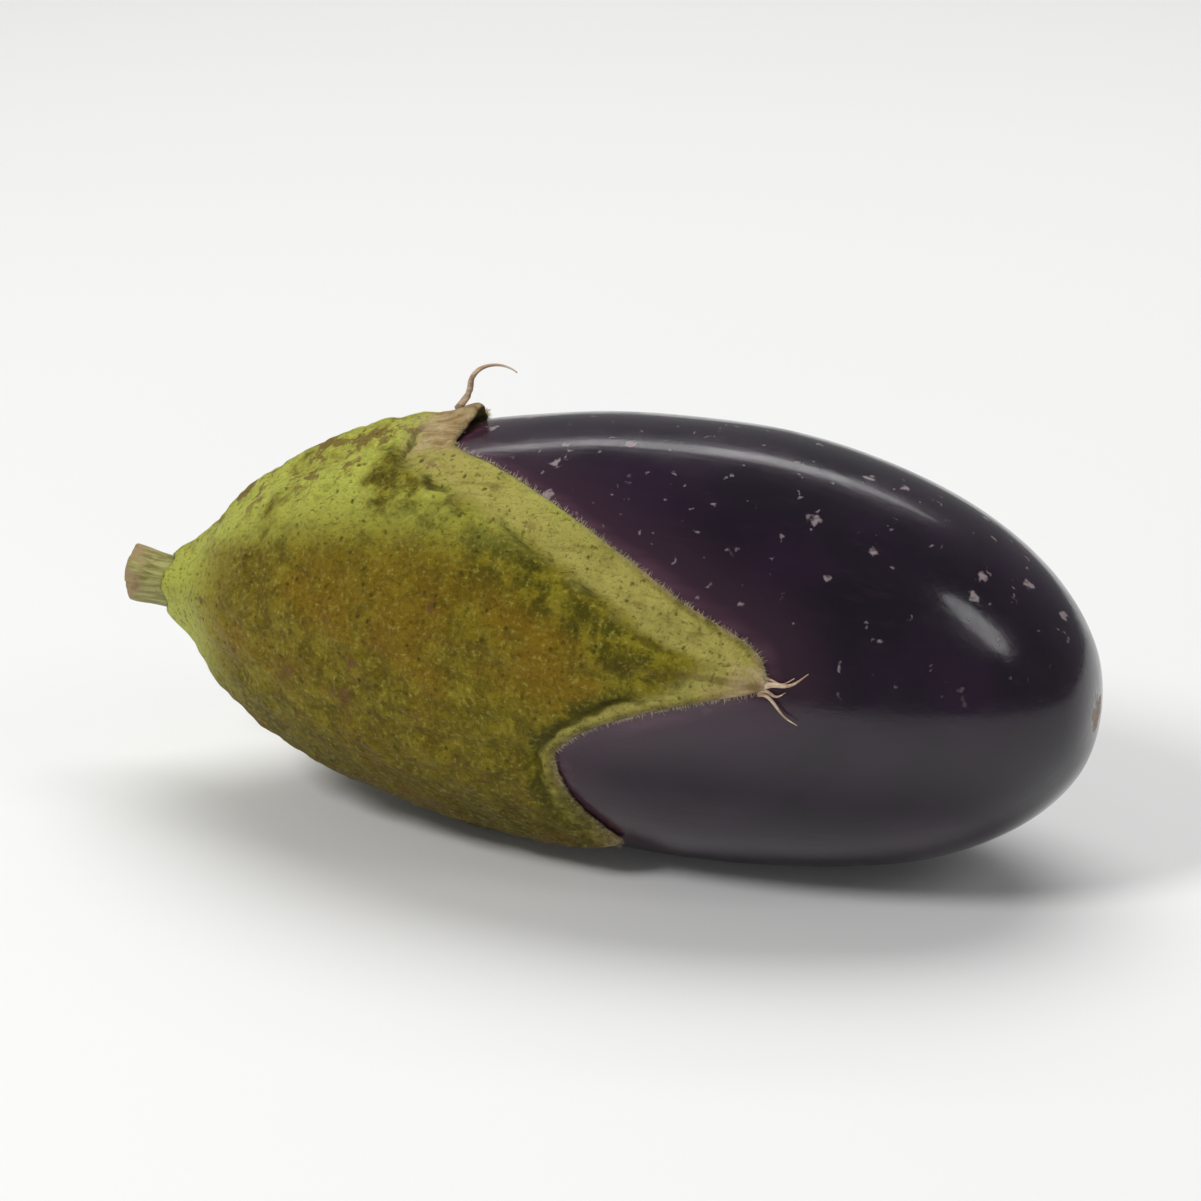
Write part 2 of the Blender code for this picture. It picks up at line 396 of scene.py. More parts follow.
def make_fruit(material):
    """The fruit: slow dents, a corky scar at its blossom end and a small flat to lie on."""
    turns = np.linspace(0, np.pi, FRUIT_RINGS + 1)[1:-1]
    angles = np.linspace(0, 2 * np.pi, FRUIT_SEGMENTS, endpoint=False)
    turn, angle = np.meshgrid(turns, angles, indexing="ij")
    points = surface(turn, angle)
    edge = edge_distance(points)
    from_blossom = np.where(turn < np.pi / 2, FRUIT_LENGTH, radius_at(turn, angle))
    ragged = 1 + SCAR_CORNER_HEIGHT * np.cos(SCAR_CORNERS * angle) + relief(points, *SCAR_OUTLINE)
    scar = 1 - smooth(from_blossom, 0.55 * SCAR_RADIUS * ragged, 1.15 * SCAR_RADIUS * ragged)
    lift = relief(points, DENTS) + scar * relief(points, CORK)
    lift -= SCAR_DEPTH * (1 - smooth(from_blossom, 0, SCAR_HOLLOW))
    points = points + outward(turn, angle) * lift[..., None]
    poles = [centre_line(-1), centre_line(1) - np.array([SCAR_DEPTH, 0, 0])]
    points = np.concatenate([points.reshape(-1, 3), poles])
    points[:, 2] = np.maximum(points[:, 2], -SHIFT[2])
    faces = grid_faces(len(turns), FRUIT_SEGMENTS)
    last = len(turns) * FRUIT_SEGMENTS
    faces += fan_faces(0, FRUIT_SEGMENTS, last, flip=False)
    faces += fan_faces(last - FRUIT_SEGMENTS, FRUIT_SEGMENTS, last + 1, flip=True)
    make_piece("eggplant_fruit", points, faces, material, "fruit", "fruit_skin",
               edge_mm=np.append(edge.ravel() / MM, [FAR_MM, FAR_MM]),
               scar=np.append(scar.ravel(), [0, 1]))


def turn_at_radius(radius):
    """The turn near the stem pole at which the fruit has this radius."""
    turns = np.linspace(0, np.pi / 2, 2000)
    return np.interp(radius, radius_at(turns, 0 * turns), turns)


def stand_off(points, angle, edge):
    """How far the leaf stands off the fruit: a little along its wavy margin, more at dry tips."""
    wave = 0.5 + relief(around(angle) * FRUIT_RADIUS, EDGE_WAVES)
    lift = LEAF_CLEARANCE + EDGE_LIFT * wave * (1 - smooth(edge, 0, 4.5 * MM))
    lift += FRONT_TIP_LIFT * np.exp(-(tip_distance(points, FRONT) / FRONT_TIP_SIZE) ** 2)
    lift += TOP_TIP_LIFT * np.exp(-(tip_distance(points, TOP) / TOP_TIP_SIZE) ** 2)
    return lift


def dryness(turn, angle):
    """1 on the withered tips, most of all on the top lobe, fading to 0 in the green."""
    points = surface(turn, angle)
    dry = np.zeros(turn.shape)
    for lobe in LOBES:
        size = TOP_DRY_SIZE if lobe is TOP else DRY_SIZE
        middle = surface(np.arccos(DRY_BACK - lobe.tip_reach), math.radians(lobe.tip_angle - DRY_TURN))
        dry = np.maximum(dry, np.exp(-(np.linalg.norm(points - middle, axis=-1) / size) ** 2))
    return dry


def calyx_turns():
    """The calyx's rows as turns at each angle: along the fruit, then back over the outside."""
    hole = turn_at_radius(STEM_RADIUS * HOLE_SHARE)
    foot = turn_at_radius(COLLAR_FOOT)
    cap = np.append(np.linspace(0, 1, CAP_ROWS + 1)[1:-1], EDGE_ROWS)
    inside = hole + (MARGIN_TURNS - hole) * np.linspace(0, INSIDE_END, INSIDE_ROWS)[:, None]
    collar = np.repeat(np.linspace(hole, foot, COLLAR_ROWS)[:, None], len(ANGLES), axis=1)
    outside = np.concatenate([collar, foot + (MARGIN_TURNS - foot) * cap[:, None]])[::-1]
    return np.concatenate([inside, outside])


def leaf_thickness(points, edge, band_width):
    """The leaf without its ridges: round at the margin, a thin band, and a step to the middle."""
    thick = EDGE_THICKNESS * np.sqrt(np.clip(edge / EDGE_RADIUS, 0, 1))
    thick += BAND_GAIN * smooth(edge, 0, band_width)
    thick += STEP_HEIGHT * smooth(edge, band_width - 0.8 * MM, band_width + 1.2 * MM)
    return thick + relief(points, *LEAF_RELIEF) * smooth(edge, 0, 1.5 * MM)


def make_calyx(material):
    """The cap and collar: one closed section at each angle, inside first and then outside."""
    turn = calyx_turns()
    angle = np.broadcast_to(ANGLES, turn.shape)
    outer = np.arange(len(turn))[:, None] >= INSIDE_ROWS
    points = surface(turn, angle)
    radius = radius_at(turn, angle)
    edge = edge_distance(points)
    past_collar = smooth(radius, 5 * MM, 14 * MM)

    top = smooth(points[..., 2] + SHIFT[2], *BAND_HEIGHTS)
    band_width = BAND_WIDTH * (LOW_BAND + (1 - LOW_BAND) * top)
    from_crease = edge + relief(points, *CREASE_WANDER) - band_width
    crease = np.exp(-(from_crease / CREASE_WIDTH) ** 2) * (CREASE_MEAN + relief(points, CREASE_STRENGTH))
    from_rib = radius * angle_gap(angle, [lobe.tip_angle for lobe in LOBES])
    from_fold = radius * angle_gap(angle, [lobe.notch_angle for lobe in LOBES])
    thick = leaf_thickness(points, edge, band_width)
    thick -= CREASE_DEPTH * crease * past_collar
    thick += MIDRIB_HEIGHT * np.exp(-(from_rib / MIDRIB_WIDTH) ** 2) * smooth(edge, 0, 4 * MM)
    furrow = np.exp(-(from_fold / FURROW_WIDTH) ** 2) * smooth(edge, 0, 2 * MM)
    thick -= FURROW_DEPTH * furrow * past_collar

    lift = stand_off(points, angle, edge)
    from_stem = ((radius - STEM_RADIUS) / COLLAR_SPREAD).clip(0)
    scallops = 0.86 + 0.22 * smooth(PHASES, 0, 1) + relief(points, COLLAR_RELIEF)
    rising = COLLAR_HEIGHT * np.exp(-from_stem ** COLLAR_FALL) * scallops
    points = points + outward(turn, angle) * (lift + outer * thick)[..., None]
    points[..., 0] -= outer * rising

    faces = grid_faces(len(turn), len(ANGLES), wrap_rows=True)
    make_piece("eggplant_calyx", points.reshape(-1, 3), faces, material, "calyx", "calyx_leaf",
               edge_mm=edge / MM, inner_mm=edge / band_width * BAND_WIDTH / MM,
               upper=np.sin(angle), crease=crease, dry=dryness(turn, angle), rib_mm=from_rib / MM,
               collar=1 - smooth(radius, 5 * MM, 17 * MM))


def make_stem(material):
    """The fluted, fibrous stub, with its cut face in rings."""
    angles = np.linspace(0, 2 * np.pi, STEM_SEGMENTS, endpoint=False)
    length = np.append(STEM_LENGTH * np.linspace(0, 1, STEM_RINGS), [STEM_LENGTH] * len(CUT_SHARES))
    shrink = np.append(np.ones(STEM_RINGS), CUT_SHARES)[:, None]
    length, angle = np.meshgrid(length, angles, indexing="ij")
    on_face = np.broadcast_to(shrink < 1, length.shape)
    phase = np.interp(angles, np.append(ANGLES, ANGLES[0] + 2 * np.pi), np.append(PHASES, PHASES[0]))
    flare = 1 + STEM_LIP * smooth(length, 0.6 * STEM_LENGTH, STEM_LENGTH)
    flare += STEM_FOOT * (1 - smooth(length, 3 * MM, 7 * MM))
    flutes = STEM_NARROW + FLUTE_HEIGHT * smooth(phase, 0, 1)
    places = around(angle) * STEM_RADIUS - length[..., None] * np.array([1, 0, 0])
    radius = (STEM_RADIUS * flare * flutes + relief(places, *STEM_RELIEF)) * shrink
    rings = RING_HEIGHT * np.sin(radius / RING_SIZE)
    rings += relief(around(angle) * radius[..., None], CUT_GRAIN)
    dish = CUT_DISH * (1 - shrink ** 2)
    length = length - on_face * (dish + rings * smooth(1 - shrink, 0, 0.1))
    spine = length[..., None] * np.array([-1, 0, 0])
    spine[..., 2] += STEM_RISE * (length / STEM_LENGTH) ** 2
    base = centre_line(-1)
    points = base + spine + around(angle) * radius[..., None]
    cut_middle = base + [CUT_DISH - STEM_LENGTH, 0, STEM_RISE]
    count = points.shape[0] * STEM_SEGMENTS
    faces = [face[::-1] for face in grid_faces(len(points), STEM_SEGMENTS)]
    faces += fan_faces(count - STEM_SEGMENTS, STEM_SEGMENTS, count, flip=False)
    faces += fan_faces(0, STEM_SEGMENTS, count + 1, flip=True)
    points = np.concatenate([points.reshape(-1, 3), [cut_middle, base]])
    make_piece("eggplant_stem", points, faces, material, "stem", "stem_wood", crisp=STEM_CREASE,
               cut=np.append(on_face.ravel(), [1, 0]),
               cut_radius_mm=np.append(radius.ravel() / MM, [0, STEM_RADIUS / MM]),
               height_mm=np.append(length.ravel() / MM, [STEM_LENGTH / MM, 0]))


def strand(path, start_radius, end_radius, sides=6):
    """Points and faces of a tapered thread along a path."""
    ahead = unit(np.gradient(path, axis=0))
    side = unit(np.cross(ahead, [0.1, 0.3, 1.0]))
    up = np.cross(side, ahead)
    radii = np.linspace(start_radius, end_radius, len(path))[:, None, None]
    angles = np.linspace(0, 2 * np.pi, sides, endpoint=False)[None, :, None]
    rings = path[:, None] + radii * (np.cos(angles) * side[:, None] + np.sin(angles) * up[:, None])
    last = (len(path) - 1) * sides
    caps = [tuple(range(sides)), tuple(range(last + sides - 1, last - 1, -1))]
    return rings.reshape(-1, 3), grid_faces(len(path), sides) + caps


def joined(strands):
    """The points and faces of some strands as one mesh."""
    points = []
    faces = []
    count = 0
    for strand_points, strand_faces in strands:
        points.append(strand_points)
        faces += [tuple(i + count for i in face) for face in strand_faces]
        count += len(strand_points)
    return np.concatenate(points), faces


def thread_path(thread):
    """A dry thread that runs out from under the front lobe's tip, over the fruit."""
    steps = np.linspace(0, 1, 14)
    turn = math.acos(-FRONT.tip_reach) + (thread.length * steps - THREAD_ROOT) / HALF_LENGTH
    fan = thread.start + thread.fan * steps ** 1.5 + THREAD_WAVE * np.sin(7 * steps)
    angle = math.radians(FRONT.tip_angle) + fan
    height = THREAD_LIFT + thread.height * np.sin(2.2 * steps)
    return surface(turn, angle) + outward(turn, angle) * height[:, None]


def curl_path():
    """The top lobe's dry point, which rises and bends over towards the blossom end."""
    turn = math.acos(-TOP.tip_reach)
    angle = math.radians(TOP.tip_angle)
    root = surface(turn, angle) + outward(turn, angle) * CURL_ROOT - [CURL_ROOT, 0, 0]
    bend = np.linspace(math.pi, 0.25 * math.pi, 18)
    foot_x, foot_z = np.transpose(CURL_FOOT)
    x = CURL_WIDTH * np.append(foot_x, 1 + np.cos(bend))
    z = np.append(CURL_RISE * foot_z, CURL_RISE + CURL_HEIGHT * np.sin(bend))
    return root + np.stack([x, CURL_LEAN * x, z], -1)


def make_fibres(material):
    """Dry threads at the front lobe's tip, and the curled dry point of the top lobe."""
    strands = [strand(thread_path(thread), thread.radius, THREAD_END) for thread in THREADS]
    strands.append(strand(curl_path(), *CURL_RADII))
    make_piece("eggplant_dry_tips", *joined(strands), material, slot="calyx_leaf")


def make_fuzz(material):
    """Short pale hairs along the calyx's margin, pointing past it over the fruit."""
    rng = np.random.default_rng(HAIR_SEED)
    run = np.linalg.norm(NEXT_CORNERS - CORNERS, axis=1)
    ends = np.cumsum(run)
    hairs = []
    for place in np.sort(rng.uniform(0, ends[-1], HAIR_COUNT)):
        i = int(np.searchsorted(ends, place))
        share = (ends[i] - place) / run[i]
        root = CORNERS[i] * share + NEXT_CORNERS[i] * (1 - share)
        if tip_distance(root, TOP) < BARE_RADIUS:
            continue
        up = outward(MARGIN_TURNS[i], ANGLES[i])
        past = unit(np.cross(NEXT_CORNERS[i] - CORNERS[i], up))
        past = past + rng.normal(0, HAIR_SPREAD, 3)
        length = rng.uniform(*HAIR_LENGTHS)
        height = stand_off(CORNERS[i], ANGLES[i], 0.0) + rng.uniform(*HAIR_LIFTS)
        steps = np.linspace(-0.3, 1, 4)[:, None] * length
        path = root + up * (height + HAIR_SLOPE * steps) + past * steps
        hairs.append(strand(path, *HAIR_RADII, HAIR_SIDES))
    make_piece("eggplant_calyx_fuzz", *joined(hairs), material, slot="calyx_leaf")


# ---------------------------------------------------------------- materials

class Surface:
    """A Principled material and short calls for the nodes that feed it."""

    def __init__(self, name, **settings):
        self.material = bpy.data.materials.new(name)
        self.material.use_nodes = True
        self.tree = self.material.node_tree
        self.shader = self.tree.nodes["Principled BSDF"]
        for key, value in settings.items():
            self.shader.inputs[key.replace("_", " ")].default_value = value
        self.place = self.tree.nodes.new("ShaderNodeTexCoord").outputs["Object"]

    def node(self, kind, **inputs):
        """A new node with its inputs set or linked, by name."""
        made = self.tree.nodes.new(kind)
        for key, value in inputs.items():
            self.feed(made.inputs[key.replace("_", " ")], value)
        return made

    def feed(self, socket, value):
        """Link an output to a socket, or set the socket's own value."""
        if isinstance(value, bpy.types.NodeSocket):
            self.tree.links.new(value, socket)
        else:
            socket.default_value = value

    def stretched(self, x, y, z):
        """The place on the object, squeezed or stretched along each axis."""
        made = self.node("ShaderNodeMapping", Vector=self.place)
        made.inputs["Scale"].default_value = (x, y, z)
        return made.outputs["Vector"]

    def warped(self, amount, size):
        """The place on the object, pushed about by noise so that round cells turn ragged."""
        wander = self.node("ShaderNodeTexNoise", Vector=self.place, Scale=1 / size, Detail=3.0)
        made = self.tree.nodes.new("ShaderNodeVectorMath")
        made.operation = "MULTIPLY_ADD"
        self.feed(made.inputs[0], wander.outputs["Color"])
        made.inputs[1].default_value = (amount, amount, amount)
        self.feed(made.inputs[2], self.place)
        return made.outputs["Vector"]

    def noise(self, size, detail=3.0, roughness=0.55, place=None):
        """Soft noise from 0 to 1 with features of this size in metres."""
        made = self.node("ShaderNodeTexNoise", Vector=place or self.place, Scale=1 / size,
                         Detail=detail, Roughness=roughness)
        return made.outputs["Fac"]

    def cells(self, size, place=None):
        """Distance to the nearest of some scattered points, and a random value for each."""
        made = self.node("ShaderNodeTexVoronoi", Vector=place or self.place, Scale=1 / size)
        parts = self.node("ShaderNodeSeparateColor", Color=made.outputs["Color"])
        return made.outputs["Distance"], parts.outputs["Red"]

    def value(self, name):
        """A float attribute of the mesh."""
        made = self.tree.nodes.new("ShaderNodeAttribute")
        made.attribute_name = name
        return made.outputs["Fac"]

    def height(self):
        """The height above the ground."""
        return self.node("ShaderNodeSeparateXYZ", Vector=self.place).outputs["Z"]

    def ease(self, value, start, end, low=0.0, high=1.0):
        """From low to high as the value goes from start to end."""
        made = self.tree.nodes.new("ShaderNodeMapRange")
        made.interpolation_type = "SMOOTHSTEP"
        for socket, number in zip(made.inputs, (value, start, end, low, high)):
            self.feed(socket, number)
        return made.outputs["Result"]

    def combine(self, operation, first, second):
        """One step of arithmetic."""
        made = self.tree.nodes.new("ShaderNodeMath")
        made.operation = operation
        self.feed(made.inputs[0], first)
        self.feed(made.inputs[1], second)
        return made.outputs[0]

    def plus(self, first, second):
        """The sum of two values."""
        return self.combine("ADD", first, second)

    def minus(self, first, second):
        """The difference of two values."""
        return self.combine("SUBTRACT", first, second)

    def most(self, first, second):
        """The larger of two values."""
        return self.combine("MAXIMUM", first, second)

    def times(self, *values):
        """The product of some values."""
        product = values[0]
        for value in values[1:]:
            product = self.combine("MULTIPLY", product, value)
        return product

    def mix(self, share, first, second):
        """A colour between two."""
        made = self.tree.nodes.new("ShaderNodeMix")
        made.data_type = "RGBA"
        for index, item in ((0, share), (6, first), (7, second)):
            if isinstance(item, tuple):
                item = (*item, 1.0)
            self.feed(made.inputs[index], item)
        return made.outputs[2]

    def bump(self, *layers):
        """Relief in metres: pairs of a height from 0 to 1 and its depth."""
        normal = None
        for height, depth in layers:
            made = self.node("ShaderNodeBump", Height=height, Distance=depth)
            if normal:
                self.tree.links.new(normal, made.inputs["Normal"])
            normal = made.outputs["Normal"]
        self.feed(self.shader.inputs["Normal"], normal)

    def finished(self, colour, roughness=None):
        """The material, with this colour and roughness on its shader."""
        self.feed(self.shader.inputs["Base Color"], colour)
        if roughness:
            self.feed(self.shader.inputs["Roughness"], roughness)
        return self.material


# Colours of the skin: its two darks, its streaks, the violet towards the calyx and at its rim,
# the flecks and the corky scar.
SKIN_BLACK = (0.0055, 0.0018, 0.0075)
SKIN_PURPLE = (0.0140, 0.0040, 0.0165)
SKIN_STREAK = (0.020, 0.0075, 0.019)
SKIN_VIOLET = (0.034, 0.014, 0.026)
SKIN_RIM = (0.105, 0.045, 0.070)
SKIN_FLECK = (0.30, 0.24, 0.25)
CORK_DARK = (0.085, 0.045, 0.024)
CORK_LIGHT = (0.26, 0.17, 0.10)

# Colours of the calyx, from its middle to its band and its withered tips.
LEAF_OLIVE = (0.115, 0.094, 0.005)
LEAF_YELLOW = (0.305, 0.250, 0.016)
LEAF_GOLD = (0.265, 0.152, 0.008)
# Painted shade for the calyx's lower side.
LEAF_LOW_SHADE = (0.075, 0.060, 0.004)
# Painted shade for the strip just inside the crease.
LEAF_SHADE = (0.085, 0.073, 0.005)
LEAF_LIME = (0.590, 0.620, 0.105)
LEAF_BAND = (0.540, 0.475, 0.120)
# The grain's two colours: real speckle, and also painted highlight on its bumps and painted shade in its
# pits.
LEAF_GRAIN_AND_BUMP_HIGHLIGHT = (0.460, 0.420, 0.080)
LEAF_GRAIN_AND_PIT_SHADE = (0.070, 0.058, 0.004)
LEAF_FIBRE = (0.120, 0.105, 0.010)
LEAF_RUSSET = (0.185, 0.090, 0.028)
LEAF_SPECK = (0.055, 0.045, 0.006)
# Painted shade in the crease.
LEAF_CREASE_SHADE = (0.062, 0.052, 0.005)
LEAF_MIDRIB = (0.120, 0.060, 0.018)
LEAF_EDGE = (0.430, 0.340, 0.160)
WITHERED_DARK = (0.340, 0.195, 0.085)
WITHERED_LIGHT = (0.680, 0.530, 0.300)
THREAD_DARK = (0.340, 0.210, 0.130)
THREAD_LIGHT = (0.620, 0.480, 0.340)
HAIR_DARK = (0.420, 0.380, 0.180)
HAIR_LIGHT = (0.620, 0.560, 0.330)

# Colours of the stem's side and of its cut face.
STEM_DARK = (0.165, 0.160, 0.040)
STEM_LIGHT = (0.380, 0.350, 0.130)
STEM_GREEN = (0.250, 0.310, 0.055)
STEM_TAN = (0.330, 0.230, 0.120)
STEM_BROWN = (0.200, 0.125, 0.055)
CUT_DARK = (0.470, 0.380, 0.210)
CUT_LIGHT = (0.700, 0.620, 0.430)
CUT_RING = (0.230, 0.200, 0.070)
CUT_BARK = (0.270, 0.170, 0.085)
CUT_PITH = (0.380, 0.270, 0.140)


def skin_material():
    """Near-black purple skin: waxy, with faint streaks, pale flecks above, violet by the calyx."""
    s = Surface("eggplant_skin", IOR=1.46, Coat_Weight=0.3, Coat_Roughness=0.08, Coat_IOR=1.45)
    streaks = s.noise(1.1 * MM, 4, place=s.stretched(0.07, 1, 1))
    clouds = s.noise(16 * MM, 3)
    colour = s.mix(s.ease(clouds, 0.35, 0.7), SKIN_BLACK, SKIN_PURPLE)
    colour = s.mix(s.ease(streaks, 0.5, 0.8, 0, 0.45), colour, SKIN_STREAK)
    from_calyx = s.plus(s.value("edge_mm"), s.times(clouds, 4.0))
    colour = s.mix(s.ease(from_calyx, 2.0, 13.0, 0.9, 0), colour, SKIN_VIOLET)
    rim = s.times(s.ease(from_calyx, 1.6, 4.6, 1, 0), s.ease(streaks, 0.3, 0.7, 0.4, 1.0))
    colour = s.mix(rim, colour, SKIN_RIM)
    # Pale flecks of many sizes and small dots, on the upper skin only.
    upper = s.ease(s.height(), 27 * MM, 38 * MM)
    ragged = s.warped(2.4 * MM, 1.2 * MM)
    distance, pick = s.cells(4.2 * MM, ragged)
    size = s.ease(pick, 0.45, 1.0, 0.02, 0.15)
    flecks = s.ease(s.minus(distance, size), -0.02, 0.09, 1, 0)
    distance, pick = s.cells(1.7 * MM, ragged)
    dots = s.times(s.ease(distance, 0.08, 0.22, 1, 0), s.ease(pick, 0.66, 0.74))
    marks = s.times(s.most(s.times(flecks, 0.8), s.times(dots, 0.5)), upper)
    colour = s.mix(marks, colour, SKIN_FLECK)
    scar = s.value("scar")
    colour = s.mix(scar, colour, s.mix(s.noise(0.9 * MM, 4), CORK_DARK, CORK_LIGHT))
    wax = s.ease(s.noise(9 * MM, 4), 0.35, 0.7, 0.15, 0.27)
    s.bump((streaks, 0.03 * MM), (s.noise(0.35 * MM, 2), 0.006 * MM), (marks, 0.03 * MM))
    return s.finished(colour, s.most(wax, s.times(s.most(marks, scar), 0.7)))


def calyx_material():
    """Mottled leaf: lime above, golden in the middle, a pale band inside the margin, dry tips."""
    s = Surface("eggplant_calyx_leaf", IOR=1.35, Specular_IOR_Level=0.25,
                Sheen_Weight=0.03, Sheen_Roughness=0.5)
    s.shader.inputs["Sheen Tint"].default_value = (0.9, 0.9, 0.6, 1)
    edge = s.value("edge_mm")
    inner = s.value("inner_mm")
    upper = s.value("upper")
    rib = s.value("rib_mm")
    height = s.height()
    fine = s.noise(0.7 * MM, 5, 0.7)
    middle = s.noise(3.0 * MM, 5, 0.65)
    broad = s.noise(11 * MM, 3)
    fibres = s.noise(0.9 * MM, 4, place=s.stretched(0.14, 1, 1))
    # The middle of the lobes: olive and yellow, golden patches, then painted shade low down and painted
    # shade just inside the crease.
    colour = s.mix(s.ease(middle, 0.36, 0.66), LEAF_OLIVE, LEAF_YELLOW)
    gold = s.times(s.ease(inner, 8, 13), s.ease(broad, 0.38, 0.60, 0.35, 1.0),
                   s.ease(rib, 2, 9, 1, 0.5))
    colour = s.mix(s.times(gold, 0.85), colour, LEAF_GOLD)
    # Painted shade: the calyx's colour darkens towards the bottom.
    colour = s.mix(s.ease(height, 3 * MM, 24 * MM, 0.6, 0), colour, LEAF_LOW_SHADE)
    # Painted shade in a mottled strip just inside the crease, weaker on the side that faces up.
    shade = s.times(s.ease(inner, 6.0, 8.0), s.ease(inner, 10.0, 14.0, 1, 0),
                    s.ease(middle, 0.58, 0.40))
    colour = s.mix(s.times(shade, s.ease(upper, 0.60, 0.88, 0.8, 0.1)), colour, LEAF_SHADE)
    # Lime on the collar and on the side that faces up.
    lime = s.most(s.value("collar"), s.ease(upper, 0.52, 0.84))
    lime = s.times(lime, s.ease(s.plus(broad, s.times(middle, 0.4)), 0.48, 0.72))
    colour = s.mix(s.times(lime, 0.95), colour, LEAF_LIME)
    # The pale band inside the margin.
    ragged_edge = s.plus(inner, s.plus(s.times(middle, 4.0), s.times(broad, 3.0)))
    band = s.times(s.ease(edge, 0.3, 1.2), s.ease(ragged_edge, 8.0, 10.4, 1, 0))
    band = s.times(band, s.ease(height, 10 * MM, 34 * MM, 0.35, 1.0),
                   s.ease(middle, 0.3, 0.6, 0.65, 1.0))
    colour = s.mix(band, colour, LEAF_BAND)
    # Grain follows the bump's heights, so it is partly real speckle and partly painted highlight on the
    # bumps and painted shade in the pits; then fibres, russet patches and dark specks all over.
    colour = s.mix(s.ease(fine, 0.52, 0.70, 0, 0.7), colour, LEAF_GRAIN_AND_BUMP_HIGHLIGHT)
    colour = s.mix(s.ease(fine, 0.47, 0.32, 0, 0.7), colour, LEAF_GRAIN_AND_PIT_SHADE)
    colour = s.mix(s.ease(fibres, 0.52, 0.72, 0, 0.35), colour, LEAF_FIBRE)
    patches = s.noise(5.5 * MM, 5, 0.7)
    on_crest = s.times(s.ease(patches, 0.52, 0.60), s.ease(upper, 0.70, 0.92))
    russet = s.times(s.most(s.ease(patches, 0.60, 0.67), on_crest), s.ease(edge, 2, 6))
    colour = s.mix(s.times(russet, 0.8), colour, LEAF_RUSSET)
    distance, pick = s.cells(1.5 * MM, s.warped(0.8 * MM, 0.8 * MM))
    specks = s.times(s.ease(distance, 0.10, 0.28, 1, 0), s.ease(pick, 0.60, 0.68))
    colour = s.mix(s.times(specks, 0.75), colour, LEAF_SPECK)
    # Painted shade in the crease, then the midribs, the dry edge and the withered tips.
    colour = s.mix(s.ease(s.value("crease"), 0.25, 0.9, 0, 0.8), colour, LEAF_CREASE_SHADE)
    midrib = s.times(s.ease(s.plus(rib, s.times(middle, 1.2)), 0.7, 1.3, 0.55, 0),
                     s.ease(edge, 1, 8, 1, 0.25))
    colour = s.mix(midrib, colour, LEAF_MIDRIB)
    pale = s.times(s.ease(edge, 0.2, 0.9, 1, 0), s.ease(middle, 0.35, 0.6, 0.2, 0.75))
    colour = s.mix(pale, colour, LEAF_EDGE)
    dry = s.ease(s.plus(s.value("dry"), s.times(s.minus(middle, 0.5), 1.3)), 0.15, 0.80)
    withered = s.mix(s.ease(fibres, 0.3, 0.7), WITHERED_DARK, WITHERED_LIGHT)
    colour = s.mix(s.times(dry, 0.9), colour, withered)
    s.bump((middle, 0.8 * MM), (fine, 0.9 * MM), (fibres, 0.25 * MM),
           (s.noise(0.3 * MM, 2), 0.12 * MM))
    return s.finished(colour, s.ease(fine, 0.3, 0.7, 0.62, 0.42))


def stem_material():
    """Green-tan fibrous stem, browner at the lip, with a cream cut face in faint rings."""
    s = Surface("eggplant_stem_wood", IOR=1.4, Sheen_Weight=0.12)
    height = s.value("height_mm")
    fibres = s.noise(0.5 * MM, 5, 0.65, place=s.stretched(0.10, 1, 1))
    blotch = s.noise(2.2 * MM, 4)
    side = s.mix(s.ease(fibres, 0.35, 0.65), STEM_DARK, STEM_LIGHT)
    side = s.mix(s.ease(height, 2, 8, 0.7, 0.0), side, STEM_GREEN)
    side = s.mix(s.times(s.ease(height, 8, 12), s.ease(blotch, 0.35, 0.6)), side, STEM_TAN)
    side = s.mix(s.ease(blotch, 0.58, 0.66, 0, 0.6), side, STEM_BROWN)
    wavy = s.plus(s.value("cut_radius_mm"), s.times(blotch, 0.9))
    face = s.mix(s.ease(s.noise(0.4 * MM, 4), 0.35, 0.65), CUT_DARK, CUT_LIGHT)
    ring = s.times(s.ease(wavy, 2.3, 2.7), s.ease(wavy, 2.9, 3.3, 1, 0))
    face = s.mix(s.times(ring, 0.8), face, CUT_RING)
    face = s.mix(s.ease(wavy, 3.4, 3.8, 0, 0.8), face, CUT_BARK)
    face = s.mix(s.ease(wavy, 0.6, 1.1, 0.6, 0), face, CUT_PITH)
    s.bump((fibres, 0.15 * MM), (s.noise(0.3 * MM, 3), 0.05 * MM))
    return s.finished(s.mix(s.value("cut"), side, face), s.ease(fibres, 0.3, 0.7, 0.55, 0.8))


def dry_material():
    """Withered leaf fibre, from pinkish brown to straw."""
    s = Surface("eggplant_dry_fibre", Sheen_Weight=0.2)
    fibres = s.noise(0.6 * MM, 4, place=s.stretched(0.4, 1, 1))
    colour = s.mix(s.ease(fibres, 0.35, 0.65), THREAD_DARK, THREAD_LIGHT)
    s.bump((fibres, 0.08 * MM))
    return s.finished(colour, s.ease(fibres, 0.3, 0.7, 0.55, 0.8))


def hair_material():
    """Thin straw-coloured hairs."""
    s = Surface("eggplant_calyx_hair", Roughness=0.6, Sheen_Weight=0.2)
    return s.finished(s.mix(s.noise(2.0 * MM, 2), HAIR_DARK, HAIR_LIGHT))


# ---------------------------------------------------------------- the studio

CAMERA_AZIMUTH = 20
CAMERA_ELEVATION = 20
CAMERA_LENS = 120             # millimetres, on a 36 mm sensor
FRAME_FILL = 0.80             # share of the frame's width that the eggplant takes
FLOOR_RADIUS = 4.0
FLOOR_SIDES = 64
FLOOR_DARK = (0.83, 0.83, 0.82)
FLOOR_LIGHT = (0.86, 0.86, 0.85)
WORLD_COLOUR = (0.97, 0.98, 1.0, 1)
WORLD_STRENGTH = 0.20

